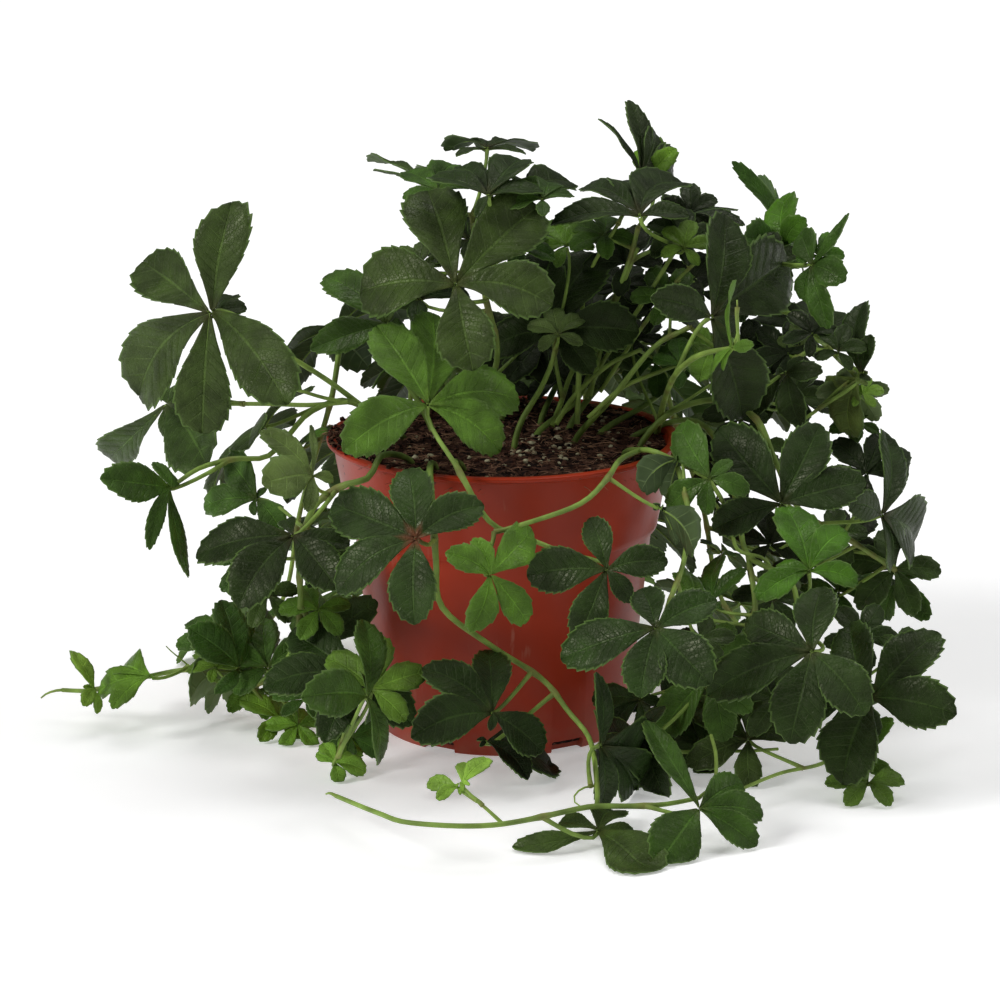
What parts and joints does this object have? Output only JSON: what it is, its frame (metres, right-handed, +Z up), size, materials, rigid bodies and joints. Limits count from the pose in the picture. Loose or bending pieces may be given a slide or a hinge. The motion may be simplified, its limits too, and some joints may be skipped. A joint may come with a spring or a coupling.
{
  "type": "potted miniature grape ivy",
  "caption": "Trailing foliage plant with toothed palmate leaves on arching stems, growing from soil in a tapered plastic nursery pot.",
  "frame": {"origin": "middle of the pot's base, on the surface that it stands on", "axes": "+Z up, -Y towards the front of the plant, +X to the right as seen from the front"},
  "size_m": [0.3314, 0.3111, 0.2232],
  "materials": {
    "pot_plastic": "moulded terracotta-coloured plastic, satin, lightly scuffed",
    "soil_peat": "dark fibrous peat with pale perlite grains",
    "leaf_green": "living leaf and stem, satin green with paler veins"
  },
  "bodies": {
    "root": {"pot": "pot_plastic", "soil": "soil_peat", "stem_upper_left": "leaf_green", "stem_left": "leaf_green", "stem_front": "leaf_green", "stem_front_right": "leaf_green", "stem_pot_front": "leaf_green", "stem_top_left": "leaf_green", "stem_middle": "leaf_green", "stem_top_middle": "leaf_green", "stem_top_right": "leaf_green", "stem_right_arch": "leaf_green", "stem_right": "leaf_green", "stem_right_low": "leaf_green", "stem_back_1": "leaf_green", "stem_back_2": "leaf_green", "stem_back_3": "leaf_green", "stem_back_4": "leaf_green", "stem_back_5": "leaf_green"}
  },
  "joints": []
}
